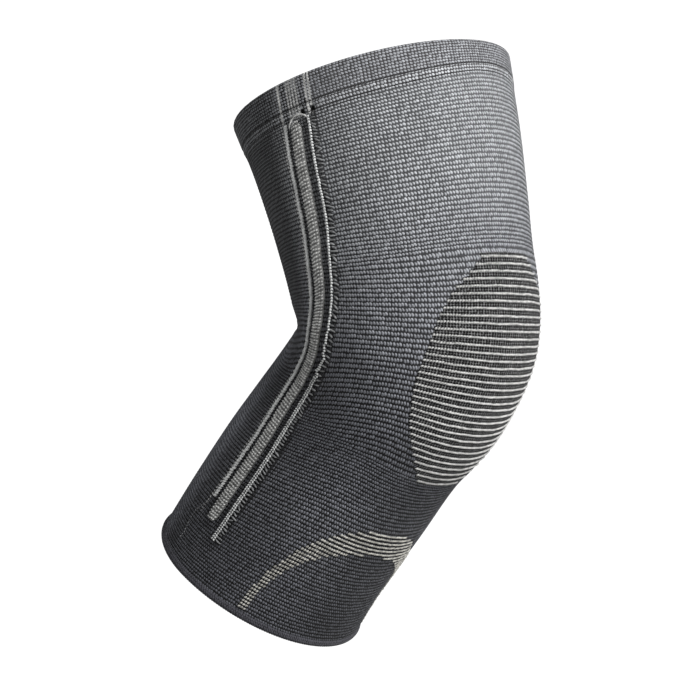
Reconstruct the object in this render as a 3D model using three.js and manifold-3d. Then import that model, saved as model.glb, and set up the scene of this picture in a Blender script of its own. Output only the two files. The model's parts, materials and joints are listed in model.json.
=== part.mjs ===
// A knitted compression knee sleeve, in the shape it takes when worn on a bent right knee.
// Millimetres and degrees. +Z is up, the front of the knee faces -Y and the outer side of the leg is at -X.
// The origin is inside the sleeve, where the axis of the thigh crosses the axis of the shin.
import * as THREE from "three";
import { mergeVertices } from "three/addons/utils/BufferGeometryUtils.js";
import Module from "manifold-3d";

// The bent leg that the knit is stretched over
const THIGH_LENGTH = 134; // from the origin to the top edge, along the thigh
const SHIN_LENGTH = 154; // from the origin to the bottom edge, along the shin
const THIGH_LEAN = 14.5; // thigh axis, tipped back from upright
const SHIN_LEAN = 45; // shin axis, tipped back from upright
const THIGH_DIAMETER = 140; // outside of the knit near the top edge
const KNEE_DIAMETER = 118; // outside of the knit round the bend
const CALF_DIAMETER = 110; // outside of the knit on the shin
const CREASE_RADIUS = 7.5; // behind the knee, where the bend is tightest
const TOP_EDGE_RISE = 5; // front of the top edge above its back, along the thigh
const BOTTOM_EDGE_RISE = 16; // front of the bottom edge above its back, along the shin
const COURSE_RISE = 4; // how far the courses under the cuff ride up at the front

// The knit and its finished ends
const WALL = 3; // thickness of the knit
const GAP = 0.3; // between any two pieces
const CUFF_HEIGHT = 20; // top edge, turned over and sewn down
const CUFF_THICKNESS = 4.4;
const CUFF_PROUD = 0.5; // cuff above the face of the knit
const CUFF_SEAM_UP = 3.2; // upper row of stitches above the cuff's lower edge
const SEAM_DEPTH = 0.8; // groove that a row of stitches pulls in
const SEAM_WIDTH = 1.8;
const HEM_HEIGHT = 5; // overlocked bottom edge
const HEM_THICKNESS = 4.4;
const HEM_PROUD = 0.9; // hem above the face of the knit

// The kneecap panel, with a raised yarn on every course
const PANEL_LENGTH = 127; // over the front of the knee
const PANEL_WIDTH = 92; // round the knee at its widest
const PANEL_MIDDLE_DROP = 2; // its middle, below the middle of the bend
const PANEL_TURN = -3; // its middle, off the front towards the outer side
const PANEL_DEPTH = 1.6; // how deep it is let into the knit
const RIB_PITCH = 3.65;
const RIB_HEIGHT = 0.7;

// The light arch across the shin
const ARCH_HEIGHT = 80; // its top above the bottom edge
const ARCH_WIDTH = 90; // between the outer edges of its feet, round the shin
const ARCH_CROWN = 16.5; // width of the band at its top
const ARCH_FOOT = 3.6; // width of the band at the hem
const ARCH_TURN = -11; // its middle, off the front towards the outer side
const ARCH_DEPTH = 1; // how deep it is let into the knit

// The stay channel on each side: a ribbed tunnel between two pipings
const CHANNEL_WIDTH = 6.4;
const CHANNEL_HEIGHT = 1.8;
const CHANNEL_END = 32; // its lower end above the bottom edge, and so for the pipings
const FRONT_PIPING_WIDTH = 2;
const FRONT_PIPING_END = 26;
const FRONT_PIPING_OFFSET = 7.8; // from the middle of the channel, round the leg
const BACK_PIPING_WIDTH = 2.6;
const BACK_PIPING_END = 42;
const BACK_PIPING_OFFSET = 6.8;
const PIPING_HEIGHT = 1.3;

// Fineness of the facets
const ROUND_STEPS = 40;
const LONG_STEP = 10; // along the thigh and the shin
const BEND_STEP = 5; // along the bend
const INNER_STEP_SHARE = 1.6; // how much coarser the inner face is
const PANEL_COLUMNS = 7;
const POCKET_ROWS = 24;
const ARCH_STEPS = 28;
const CORNER_STEPS = 2;
const PIPING_SIDES = 6;

// Every point is placed by its reach, the distance along the centreline from the bottom edge,
// by its turn, the angle round the leg from the front, with the outer side at -90,
// and by its lift, the height above the outer face of the knit.
const toRadians = THREE.MathUtils.degToRad;
const KNEE_BACK = 0.48; // depth behind the centreline at the bend, as a share of the knee's diameter
const bendRadius = KNEE_DIAMETER * KNEE_BACK + CREASE_RADIUS;
const bendAngle = toRadians(THIGH_LEAN + SHIN_LEAN);
const bendLength = bendRadius * bendAngle;
const cutOff = bendRadius * Math.tan(bendAngle / 2);
const bendStart = SHIN_LENGTH - cutOff;
const bendEnd = bendStart + bendLength;
const fullReach = bendEnd + THIGH_LENGTH - cutOff;
const onShin = (share) => share * bendStart;
const onBend = (share) => bendStart + share * bendLength;
const onThigh = (share) => bendEnd + share * (fullReach - bendEnd);

// Outline of the leg: half width, and depth in front of and behind the centreline, as shares of a diameter
const SECTIONS = [
  { reach: onShin(0), of: CALF_DIAMETER, half: 0.507, front: 0.544, back: 0.443 },
  { reach: onShin(0.28), of: CALF_DIAMETER, half: 0.487, front: 0.509, back: 0.491 },
  { reach: onShin(0.62), of: CALF_DIAMETER, half: 0.485, front: 0.489, back: 0.519 },
  { reach: onShin(0.92), of: CALF_DIAMETER, half: 0.49, front: 0.465, back: 0.522 },
  { reach: onBend(0.3), of: KNEE_DIAMETER, half: 0.484, front: 0.468, back: KNEE_BACK },
  { reach: onBend(0.62), of: KNEE_DIAMETER, half: 0.518, front: 0.502, back: KNEE_BACK },
  { reach: onBend(0.95), of: KNEE_DIAMETER, half: 0.523, front: 0.508, back: 0.484 },
  { reach: onThigh(0.3), of: THIGH_DIAMETER, half: 0.448, front: 0.463, back: 0.429 },
  { reach: onThigh(0.65), of: THIGH_DIAMETER, half: 0.459, front: 0.491, back: 0.465 },
  { reach: onThigh(1), of: THIGH_DIAMETER, half: 0.47, front: 0.504, back: 0.522 },
];

// Swells and folds: height as a share of the knee's diameter, length as a share of the bend,
// and how sharply each fades round the leg from the side that it faces
const FORMS = [
  { name: "kneecap", facing: 1, reach: onBend(0.6), height: 0.018, length: 0.45, fade: 3 },
  { name: "crease behind the knee", facing: -1, reach: onBend(0.54), height: -0.034, length: 0.19, fade: 2 },
  { name: "fold above the crease", facing: -1, reach: onBend(0.95), height: 0.008, length: 0.2, fade: 4 },
  { name: "fold below the crease", facing: -1, reach: onBend(0.1), height: 0.011, length: 0.2, fade: 4 },
];

// Middle of the stay channel: it swings back round the bend of the knee
const CHANNEL_PATH = [
  { reach: onShin(0.28), turn: 98 },
  { reach: onShin(0.65), turn: 100.5 },
  { reach: onBend(0.1), turn: 104.8 },
  { reach: onBend(0.5), turn: 102.5 },
  { reach: onThigh(0), turn: 97.3 },
  { reach: onThigh(0.3), turn: 93 },
  { reach: onThigh(0.8), turn: 92 },
];

// Outline of the kneecap panel: half width as a share of its widest, up its length
const PANEL_OUTLINE = [
  { up: 0, half: 0.3 },
  { up: 0.07, half: 0.47 },
  { up: 0.15, half: 0.66 },
  { up: 0.3, half: 0.89 },
  { up: 0.5, half: 1 },
  { up: 0.7, half: 0.93 },
  { up: 0.85, half: 0.75 },
  { up: 0.93, half: 0.53 },
  { up: 1, half: 0.34 },
];

// A smooth curve through one column of a table, which doesn't overshoot between its rows
function smooth(places, values) {
  const last = places.length - 2;
  const slopes = values.slice(1).map((value, i) => (value - values[i]) / (places[i + 1] - places[i]));
  const tangents = values.map((_, i) => {
    const before = slopes[Math.max(0, i - 1)];
    const after = slopes[Math.min(last, i)];
    return before * after > 0 ? (2 * before * after) / (before + after) : 0;
  });
  return (place) => {
    let i = 0;
    while (i < last && place > places[i + 1]) i++;
    const span = places[i + 1] - places[i];
    const t = (place - places[i]) / span;
    const s = 1 - t;
    const ends = values[i] * (1 + 2 * t) * s * s + values[i + 1] * (3 - 2 * t) * t * t;
    return ends + span * s * t * (tangents[i] * s - tangents[i + 1] * t);
  };
}

const sectionReaches = SECTIONS.map((row) => row.reach);
const halfWidthAt = smooth(sectionReaches, SECTIONS.map((row) => row.half * row.of));
const frontAt = smooth(sectionReaches, SECTIONS.map((row) => row.front * row.of));
const backAt = smooth(sectionReaches, SECTIONS.map((row) => row.back * row.of));
const channelTurnAt = smooth(CHANNEL_PATH.map((row) => row.reach), CHANNEL_PATH.map((row) => row.turn));
const panelHalfAt = smooth(PANEL_OUTLINE.map((row) => row.up), PANEL_OUTLINE.map((row) => row.half));

// The centreline: straight along the shin, round the bend, straight along the thigh
function centreAt(reach) {
  const onArc = THREE.MathUtils.clamp(reach, bendStart, bendEnd);
  const lean = (onArc - bendStart) / bendRadius - toRadians(SHIN_LEAN);
  const up = new THREE.Vector3(0, Math.sin(lean), Math.cos(lean));
  const front = new THREE.Vector3(0, -Math.cos(lean), Math.sin(lean));
  const shin = toRadians(SHIN_LEAN);
  const point = new THREE.Vector3(0, Math.sin(shin), -Math.cos(shin)).multiplyScalar(cutOff);
  point.addScaledVector(new THREE.Vector3(0, Math.cos(shin), Math.sin(shin)), bendRadius);
  point.addScaledVector(front, bendRadius).addScaledVector(up, reach - onArc);
  return { point, up, front };
}

const bodyBottom = HEM_HEIGHT + GAP;
const cuffBottom = fullReach - CUFF_HEIGHT;
const bodyTop = cuffBottom - GAP;

// The courses of the knit ride up at the front, the most at the cuff's lower edge
function courseReach(turn, reach) {
  const SHARPNESS = 6;
  const below = (reach - bendEnd) / (cuffBottom - bendEnd);
  const above = (fullReach - reach) / CUFF_HEIGHT;
  const share = Math.max(0, Math.min(below, above));
  return reach + COURSE_RISE * share * Math.max(0, Math.cos(toRadians(turn))) ** SHARPNESS;
}

// A point of the knit's outer face
function face(turn, course) {
  const reach = courseReach(turn, course);
  const { point, up, front } = centreAt(reach);
  const forward = Math.cos(toRadians(turn));
  const side = Math.sign(forward);
  let depth = forward * (forward > 0 ? frontAt(reach) : backAt(reach));
  for (const form of FORMS) {
    const along = (reach - form.reach) / (form.length * bendLength);
    const facing = Math.max(0, forward * form.facing) ** form.fade;
    depth += side * form.height * KNEE_DIAMETER * Math.exp(-along * along) * facing;
  }
  const topShare = Math.max(0, (reach - bendEnd) / (fullReach - bendEnd));
  const bottomShare = Math.max(0, (bendStart - reach) / bendStart);
  const topSlant = (topShare * TOP_EDGE_RISE) / THIGH_DIAMETER;
  const bottomSlant = (bottomShare * BOTTOM_EDGE_RISE) / CALF_DIAMETER;
  point.addScaledVector(front, depth).addScaledVector(up, depth * (topSlant + bottomSlant));
  point.x += halfWidthAt(reach) * Math.sin(toRadians(turn));
  return point;
}

// The same point lifted off the knit, square to its face
function skin(turn, reach, lift) {
  const STEP = 0.5;
  const round = face(turn + STEP, reach).sub(face(turn - STEP, reach));
  const along = face(turn, reach + STEP).sub(face(turn, reach - STEP));
  return face(turn, reach).addScaledVector(round.cross(along).normalize(), lift);
}

// Degrees of turn in each millimetre round the leg
function degreesPerMm(turn, reach) {
  return 1 / face(turn + 0.5, reach).distanceTo(face(turn - 0.5, reach));
}

// The reach that lies a distance over the front of the knit from another reach
function overTheFront(reach, distance) {
  const STRIDES = 40;
  let at = reach;
  for (let i = 0; i < STRIDES; i++) {
    at += distance / STRIDES / face(0, at + 0.5).distanceTo(face(0, at - 0.5));
  }
  return at;
}

// Moves each vertex of a flat pattern to its place on the leg
function wrap(pattern, place) {
  pattern.deleteAttribute("normal");
  pattern.deleteAttribute("uv");
  const position = pattern.getAttribute("position");
  for (let i = 0; i < position.count; i++) {
    const { turn, reach, lift } = place(position.getX(i), position.getY(i), position.getZ(i));
    const point = skin(turn, reach, lift);
    position.setXYZ(i, point.x, point.y, point.z);
  }
  return mergeVertices(pattern, 1e-3);
}

const wasm = await Module();
wasm.setup();

function toSolid(geometry) {
  const vertProperties = new Float32Array(geometry.getAttribute("position").array);
  const triVerts = new Uint32Array(geometry.index.array);
  return new wasm.Manifold(new wasm.Mesh({ numProp: 3, vertProperties, triVerts }));
}

function toGeometry(solid) {
  const { vertProperties, triVerts } = solid.getMesh();
  const geometry = new THREE.BufferGeometry();
  geometry.setAttribute("position", new THREE.BufferAttribute(new Float32Array(vertProperties), 3));
  geometry.setIndex(new THREE.BufferAttribute(new Uint32Array(triVerts), 1));
  return geometry;
}

// Reaches from one end to the other, closer together on the bend
function rowsBetween(bottom, top, coarseness = 1) {
  const stops = [bottom, bendStart, bendEnd, top];
  const steps = [LONG_STEP, BEND_STEP, LONG_STEP];
  const rows = [bottom];
  steps.forEach((step, i) => {
    const span = stops[i + 1] - stops[i];
    const count = Math.ceil(span / (step * coarseness));
    for (let k = 1; k <= count; k++) rows.push(stops[i] + (span * k) / count);
  });
  return rows;
}

// A ring round the whole leg. Its section goes up the outer face and down the inner face.
function ring(section) {
  const CORE = 100; // radius of the flat pattern
  const outline = [...section, section[0]].map(({ reach, lift }) => new THREE.Vector2(CORE + lift, reach));
  return wrap(new THREE.LatheGeometry(outline, ROUND_STEPS), (x, y, z) => ({
    turn: THREE.MathUtils.radToDeg(Math.atan2(x, z)),
    reach: y,
    lift: Math.hypot(x, z) - CORE,
  }));
}

// Quarter of an ellipse round a corner of a section, from one direction to the next
function corner(reach, lift, tall, thick, fromAngle) {
  return Array.from({ length: CORNER_STEPS + 1 }, (_, i) => {
    const angle = toRadians(fromAngle + (90 * i) / CORNER_STEPS);
    return { reach: reach + tall * Math.sin(angle), lift: lift + thick * Math.cos(angle) };
  });
}

// The turned-over cuff: a round top edge, a flat face and the groove of its upper row of stitches
function topCuff() {
  const rim = CUFF_THICKNESS / 2;
  const seam = cuffBottom + CUFF_SEAM_UP;
  const inside = CUFF_PROUD - CUFF_THICKNESS;
  return ring([
    { reach: cuffBottom, lift: inside },
    { reach: cuffBottom, lift: 0 },
    { reach: cuffBottom + SEAM_WIDTH / 2, lift: CUFF_PROUD },
    { reach: seam - SEAM_WIDTH / 2, lift: CUFF_PROUD },
    { reach: seam, lift: CUFF_PROUD - SEAM_DEPTH },
    { reach: seam + SEAM_WIDTH / 2, lift: CUFF_PROUD },
    ...corner(fullReach - rim, CUFF_PROUD - rim, rim, rim, 0),
    ...corner(fullReach - rim, CUFF_PROUD - rim, rim, rim, 90).slice(1),
  ]);
}

// The overlocked hem: an oval roll
function bottomHem() {
  const tall = HEM_HEIGHT / 2;
  const thick = HEM_THICKNESS / 2;
  const quarter = (angle) => corner(tall, HEM_PROUD - thick, tall, thick, angle).slice(1);
  return ring([-90, 0, 90, 180].flatMap(quarter));
}

const panelMiddle = overTheFront(onBend(0.5), -PANEL_MIDDLE_DROP);

// A place on the kneecap panel: x and y run from -1 to 1 across and up it, grown all round by a margin
function onPanel(x, y, margin) {
  const reach = overTheFront(panelMiddle, y * (PANEL_LENGTH / 2 + margin));
  const half = (PANEL_WIDTH / 2) * panelHalfAt((y + 1) / 2) + margin;
  return { turn: PANEL_TURN + x * half * degreesPerMm(PANEL_TURN, reach), reach };
}

function kneecapPanel() {
  const rows = 2 * Math.round(PANEL_LENGTH / RIB_PITCH);
  return wrap(new THREE.BoxGeometry(2, 2, 2, PANEL_COLUMNS, rows), (x, y, z) => {
    const onRib = Math.round(((y + 1) / 2) * rows) % 2 === 1;
    const top = onRib ? RIB_HEIGHT : 0;
    return { ...onPanel(x, y, 0), lift: z > 0 ? top : GAP - PANEL_DEPTH };
  });
}

function panelPocket() {
  return wrap(new THREE.BoxGeometry(2, 2, 2, PANEL_COLUMNS, POCKET_ROWS), (x, y, z) => ({
    ...onPanel(x, y, GAP),
    lift: z > 0 ? WALL : -PANEL_DEPTH,
  }));
}

// A place on the arch: x runs from -1 to 1 along it, y from -1 at its lower edge to 1 at its upper edge
function onArch(x, y, margin) {
  const SQUARENESS = 0.9;
  const foot = bodyBottom - margin;
  const share = (1 - y) / 2;
  const half = ARCH_WIDTH / 2 - ARCH_FOOT * share + margin * y;
  const height = ARCH_HEIGHT - foot - ARCH_CROWN * share + margin * y;
  const swing = toRadians(90 * x);
  const across = half * Math.sign(x) * Math.abs(Math.sin(swing)) ** SQUARENESS;
  const reach = foot + height * Math.abs(Math.cos(swing)) ** SQUARENESS;
  return { turn: ARCH_TURN + across * degreesPerMm(ARCH_TURN, ARCH_HEIGHT / 2), reach };
}

// A band of the arch's shape between two depths
function archBand(margin, bottom, top) {
  return wrap(new THREE.BoxGeometry(2, 2, 2, ARCH_STEPS), (x, y, z) => ({
    ...onArch(x, y, margin),
    lift: z > 0 ? top : bottom,
  }));
}

function sleeveBody() {
  const outer = rowsBetween(bodyBottom, bodyTop).map((reach) => ({ reach, lift: 0 }));
  const inner = rowsBetween(bodyBottom, bodyTop, INNER_STEP_SHARE).map((reach) => ({ reach, lift: -WALL }));
  const tube = toSolid(ring([...outer, ...inner.reverse()]));
  const archPocket = archBand(GAP, -ARCH_DEPTH, WALL);
  return toGeometry(tube.subtract(toSolid(panelPocket())).subtract(toSolid(archPocket)));
}

// A raised strip down one side of the leg, from below the cuff to its own lower end, where it narrows.
// Its flat pattern runs from -1 to 1 each way.
function strip(makePattern, side, { offset, end, width, height }) {
  const END_WIDTH = 0.5;
  const top = bodyTop - GAP;
  const stops = [end, ...rowsBetween(end + width / 2, top - width / 2), top];
  const last = stops.length - 1;
  return wrap(makePattern(last), (x, y, z) => {
    const row = Math.round(((y + 1) / 2) * last);
    const reach = stops[row];
    const half = (row === 0 || row === last ? END_WIDTH : 1) * (width / 2);
    const middle = channelTurnAt(reach);
    const turn = middle + (offset + side * x * half) * degreesPerMm(side * middle, reach);
    return { turn: side * turn, reach, lift: GAP + (height * (z + 1)) / 2 };
  });
}

const flatPattern = (rows) => new THREE.BoxGeometry(2, 2, 2, 1, rows);
const roundPattern = (rows) => new THREE.CylinderGeometry(1, 1, 2, PIPING_SIDES, rows);

const materials = {
  knit: new THREE.MeshStandardMaterial({ color: 0x55575c, roughness: 0.92, metalness: 0 }),
  cuff: new THREE.MeshStandardMaterial({ color: 0x6c6e73, roughness: 0.9, metalness: 0 }),
  hem: new THREE.MeshStandardMaterial({ color: 0x44434b, roughness: 0.95, metalness: 0 }),
  rib: new THREE.MeshStandardMaterial({ color: 0xaaa9a6, roughness: 0.88, metalness: 0 }),
  arch: new THREE.MeshStandardMaterial({ color: 0x96948f, roughness: 0.9, metalness: 0 }),
  channel: new THREE.MeshStandardMaterial({ color: 0x8f918f, roughness: 0.9, metalness: 0 }),
  piping: new THREE.MeshStandardMaterial({ color: 0xb4b6b5, roughness: 0.88, metalness: 0 }),
};

const STRIPS = [
  {
    name: "stay_channel",
    pattern: flatPattern,
    material: materials.channel,
    size: { offset: 0, end: CHANNEL_END, width: CHANNEL_WIDTH, height: CHANNEL_HEIGHT },
  },
  {
    name: "front_piping",
    pattern: roundPattern,
    material: materials.piping,
    size: {
      offset: -FRONT_PIPING_OFFSET,
      end: FRONT_PIPING_END,
      width: FRONT_PIPING_WIDTH,
      height: PIPING_HEIGHT,
    },
  },
  {
    name: "back_piping",
    pattern: roundPattern,
    material: materials.piping,
    size: {
      offset: BACK_PIPING_OFFSET,
      end: BACK_PIPING_END,
      width: BACK_PIPING_WIDTH,
      height: PIPING_HEIGHT,
    },
  },
];

const sleeve = new THREE.Group();

function addPiece(name, geometry, material) {
  const piece = new THREE.Mesh(geometry, material);
  piece.name = name;
  sleeve.add(piece);
}

addPiece("sleeve_body", sleeveBody(), materials.knit);
addPiece("top_cuff", topCuff(), materials.cuff);
addPiece("bottom_hem", bottomHem(), materials.hem);
addPiece("kneecap_panel", kneecapPanel(), materials.rib);
addPiece("shin_arch", archBand(0, GAP - ARCH_DEPTH, 0), materials.arch);
for (const [sideName, side] of [["outer", -1], ["inner", 1]]) {
  for (const { name, pattern, material, size } of STRIPS) {
    addPiece(`${sideName}_${name}`, strip(pattern, side, size), material);
  }
}

export default sleeve;
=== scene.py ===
import json
import math

import bmesh
import bpy
import numpy as np
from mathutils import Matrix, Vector

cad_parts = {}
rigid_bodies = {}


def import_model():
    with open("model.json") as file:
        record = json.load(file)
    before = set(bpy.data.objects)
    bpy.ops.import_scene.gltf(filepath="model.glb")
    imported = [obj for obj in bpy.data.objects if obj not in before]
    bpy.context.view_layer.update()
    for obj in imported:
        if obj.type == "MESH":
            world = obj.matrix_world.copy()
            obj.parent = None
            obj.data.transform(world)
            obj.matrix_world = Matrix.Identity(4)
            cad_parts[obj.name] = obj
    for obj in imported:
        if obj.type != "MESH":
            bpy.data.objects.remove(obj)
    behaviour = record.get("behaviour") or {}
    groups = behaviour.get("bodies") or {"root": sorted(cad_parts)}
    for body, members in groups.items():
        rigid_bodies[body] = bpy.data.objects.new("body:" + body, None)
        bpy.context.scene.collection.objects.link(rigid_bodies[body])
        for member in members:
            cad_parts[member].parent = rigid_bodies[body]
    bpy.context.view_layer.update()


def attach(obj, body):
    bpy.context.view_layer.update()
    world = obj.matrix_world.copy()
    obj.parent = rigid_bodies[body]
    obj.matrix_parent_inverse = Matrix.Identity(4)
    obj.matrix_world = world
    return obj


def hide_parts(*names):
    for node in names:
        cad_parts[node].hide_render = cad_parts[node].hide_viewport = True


bl_info = {
    "name": "Knitted Knee Sleeve",
    "version": (1, 0, 0),
    "blender": (4, 5, 0),
    "location": "View3D > Sidebar > Knee Sleeve",
    "description": "Builds a knitted knee sleeve with its cuff, hem, kneecap panel, shin arch and stay channels",
    "category": "Object",
}

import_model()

# The bent leg that the knit is stretched over, in metres and degrees, as in the part's source
THIGH_LENGTH = 0.134
SHIN_LENGTH = 0.154
THIGH_LEAN = 14.5
SHIN_LEAN = 45
THIGH_DIAMETER = 0.140
KNEE_DIAMETER = 0.118
CALF_DIAMETER = 0.110
KNEE_BACK = 0.48
CREASE_RADIUS = 0.0075
TOP_EDGE_RISE = 0.005
BOTTOM_EDGE_RISE = 0.016
COURSE_RISE = 0.004
WALL = 0.003
GAP = 0.0003
CUFF_HEIGHT = 0.020
CUFF_THICKNESS = 0.0044
CUFF_PROUD = 0.0005
CUFF_SEAM_UP = 0.0058
CUFF_SEAM_DOWN = 0.0012
CUFF_HOLE_DROP = 0.0036
SEAM_DEPTH = 0.0008
SEAM_WIDTH = 0.0018
HEM_HEIGHT = 0.005
HEM_THICKNESS = 0.0044
HEM_PROUD = 0.0009
PANEL_LENGTH = 0.127
PANEL_WIDTH = 0.092
PANEL_MIDDLE_DROP = 0.002
PANEL_TURN = -3
PANEL_BED = 0.0008
PANEL_RIBS = 35
ARCH_HEIGHT = 0.080
ARCH_WIDTH = 0.090
ARCH_CROWN = 0.0165
ARCH_FOOT = 0.0036
ARCH_TURN = -11
ARCH_SQUARENESS = 0.9
CHANNEL_WIDTH = 0.0064
CHANNEL_HEIGHT = 0.0018
CHANNEL_END = 0.032
FRONT_PIPING_END = 0.026
FRONT_PIPING_OFFSET = 0.0078
BACK_PIPING_WIDTH = 0.0026
BACK_PIPING_END = 0.042
BACK_PIPING_OFFSET = 0.0068
PIPING_HEIGHT = 0.0013
WALES = 250

BEND_RADIUS = KNEE_DIAMETER * KNEE_BACK + CREASE_RADIUS
BEND_ANGLE = math.radians(THIGH_LEAN + SHIN_LEAN)
BEND_LENGTH = BEND_RADIUS * BEND_ANGLE
CUT_OFF = BEND_RADIUS * math.tan(BEND_ANGLE / 2)
BEND_START = SHIN_LENGTH - CUT_OFF
BEND_END = BEND_START + BEND_LENGTH
FULL_REACH = BEND_END + THIGH_LENGTH - CUT_OFF
BODY_BOTTOM = HEM_HEIGHT + GAP
CUFF_BOTTOM = FULL_REACH - CUFF_HEIGHT
BODY_TOP = CUFF_BOTTOM - GAP
CHANNEL_TOP = BODY_TOP - GAP

# The body's edges, tucked into the cuff and the hem
TUCKED_TOP = CUFF_BOTTOM + 0.0004
TUCKED_BOTTOM = HEM_HEIGHT * 0.7

# Holes at the foot of the cuff: metres in front of the stay channel's middle, and depth
CUFF_HOLES = ((0.0042, 0.0018), (0.0104, 0.0014))

SIDES = (("outer", -1), ("inner", 1))

# Turns between which the knee's pull on the courses grows, and reaches between which the arch's crown starts
SAG_START, SAG_FULL = 42, 150
CROWN_START, CROWN_FULL = 0.058, 0.064

# Stitches laid as beads of yarn: size across the channel, up it and out. The chain's size up it is its pitch
RUNG_STITCH = (0.00158, 0.00092, 0.0008)
CHAIN_STITCH = (0.00078, 0.0011)
PULLED_STITCH = (0.0036, 0.00085, 0.0010)
DOT_STITCH = (0.0007, 0.0008, 0.0006)


def on_shin(share):
    return share * BEND_START


def on_bend(share):
    return BEND_START + share * BEND_LENGTH


def on_thigh(share):
    return BEND_END + share * (FULL_REACH - BEND_END)


# Outline of the leg: reach, diameter, and half width, front and back depth as shares of it
SECTIONS = (
    (on_shin(0), CALF_DIAMETER, 0.507, 0.544, 0.443),
    (on_shin(0.28), CALF_DIAMETER, 0.487, 0.509, 0.491),
    (on_shin(0.62), CALF_DIAMETER, 0.485, 0.489, 0.519),
    (on_shin(0.92), CALF_DIAMETER, 0.49, 0.465, 0.522),
    (on_bend(0.3), KNEE_DIAMETER, 0.484, 0.468, KNEE_BACK),
    (on_bend(0.62), KNEE_DIAMETER, 0.518, 0.502, KNEE_BACK),
    (on_bend(0.95), KNEE_DIAMETER, 0.523, 0.508, 0.484),
    (on_thigh(0.3), THIGH_DIAMETER, 0.448, 0.463, 0.429),
    (on_thigh(0.65), THIGH_DIAMETER, 0.459, 0.491, 0.465),
    (on_thigh(1), THIGH_DIAMETER, 0.47, 0.504, 0.522),
)

# Swells and folds: the side they face, reach, height, length and how sharply they fade round the leg
FORMS = (
    (1, on_bend(0.6), 0.018, 0.45, 3),
    (-1, on_bend(0.54), -0.034, 0.19, 2),
    (-1, on_bend(0.95), 0.008, 0.2, 4),
    (-1, on_bend(0.1), 0.011, 0.2, 4),
)

# Middle of the stay channel: reach and turn
CHANNEL_PATH = (
    (on_shin(0.28), 98),
    (on_shin(0.65), 100.5),
    (on_bend(0.1), 104.8),
    (on_bend(0.5), 102.5),
    (on_thigh(0), 97.3),
    (on_thigh(0.3), 93),
    (on_thigh(0.55), 92),
    (on_thigh(0.8), 89.8),
    (on_thigh(1), 88.3),
)

# Outline of the kneecap panel: share of its length, and half width as a share of its widest
PANEL_OUTLINE = (
    (0, 0.3),
    (0.07, 0.47),
    (0.15, 0.66),
    (0.3, 0.89),
    (0.5, 1),
    (0.7, 0.93),
    (0.85, 0.75),
    (0.93, 0.53),
    (1, 0.34),
)

# Height of one course of the knit over the front, from the hem to the cuff: it is drawn together at the knee
COURSE_PITCH = (
    (0, 0.00200),
    (0.030, 0.00220),
    (0.056, 0.00240),
    (0.075, 0.00250),
    (0.100, 0.00220),
    (0.125, 0.00180),
    (0.150, 0.00162),
    (0.172, 0.00145),
    (0.190, 0.00190),
    (0.212, 0.00225),
    (0.236, 0.00205),
    (0.262, 0.00180),
    (FULL_REACH, 0.00175),
)

# How far the courses sag towards the sides and back: reach, sag at the back by the knee's pull and by the thigh's
COURSE_SAG = (
    (0, 0, 0),
    (0.020, 0.012, 0),
    (0.050, 0.024, 0),
    (0.085, 0.034, 0),
    (0.113, 0.041, 0),
    (0.128, 0.030, 0),
    (0.152, 0.009, 0),
    (0.168, -0.003, 0),
    (0.190, -0.013, -0.001),
    (0.212, -0.005, -0.006),
    (0.240, -0.001, -0.007),
    (FULL_REACH - 0.01, 0, 0),
    (FULL_REACH, 0, 0),
)


def smooth(table, column=1):
    """A smooth curve through one column of a table, which doesn't overshoot between its rows."""
    places = np.array([row[0] for row in table], float)
    values = np.array([row[column] for row in table], float)
    slopes = np.diff(values) / np.diff(places)
    before = np.concatenate([slopes[:1], slopes])
    after = np.concatenate([slopes, slopes[-1:]])
    level = before * after <= 0
    tangents = np.where(level, 0, 2 * before * after / np.where(level, 1, before + after))

    def value_at(place):
        place = np.asarray(place, float)
        i = np.clip(np.searchsorted(places, place, side="left") - 1, 0, len(slopes) - 1)
        span = places[i + 1] - places[i]
        t = (place - places[i]) / span
        s = 1 - t
        ends = values[i] * (1 + 2 * t) * s * s + values[i + 1] * (3 - 2 * t) * t * t
        return ends + span * s * t * (tangents[i] * s - tangents[i + 1] * t)

    return value_at


half_width_at = smooth([(row[0], row[1] * row[2]) for row in SECTIONS])
front_at = smooth([(row[0], row[1] * row[3]) for row in SECTIONS])
back_at = smooth([(row[0], row[1] * row[4]) for row in SECTIONS])
channel_turn_at = smooth(CHANNEL_PATH)
panel_half_at = smooth(PANEL_OUTLINE)
course_pitch_at = smooth(COURSE_PITCH)
knee_sag_at = smooth(COURSE_SAG, 1)
thigh_sag_at = smooth(COURSE_SAG, 2)


def soft_step(value, start, end):
    t = np.clip((value - start) / (end - start), 0, 1)
    return t * t * (3 - 2 * t)


def direction(across, ahead, aloft):
    return np.stack(np.broadcast_arrays(across, ahead, aloft), -1)


def centre_at(reach):
    """The centreline: straight along the shin, round the bend, straight along the thigh."""
    on_arc = np.clip(reach, BEND_START, BEND_END)
    lean = (on_arc - BEND_START) / BEND_RADIUS - math.radians(SHIN_LEAN)
    up = direction(0.0, np.sin(lean), np.cos(lean))
    front = direction(0.0, -np.cos(lean), np.sin(lean))
    shin = math.radians(SHIN_LEAN)
    start = np.array([0, math.sin(shin), -math.cos(shin)]) * CUT_OFF
    start = start + np.array([0, math.cos(shin), math.sin(shin)]) * BEND_RADIUS
    return start + front * BEND_RADIUS + up * (reach - on_arc)[..., None], up, front


def course_reach(turn, reach):
    """The courses ride up at the front, the most at the cuff's lower edge."""
    sharpness = 6
    below = (reach - BEND_END) / (CUFF_BOTTOM - BEND_END)
    above = (FULL_REACH - reach) / CUFF_HEIGHT
    share = np.clip(np.minimum(below, above), 0, None)
    return reach + COURSE_RISE * share * np.clip(np.cos(np.radians(turn)), 0, None) ** sharpness


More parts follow.
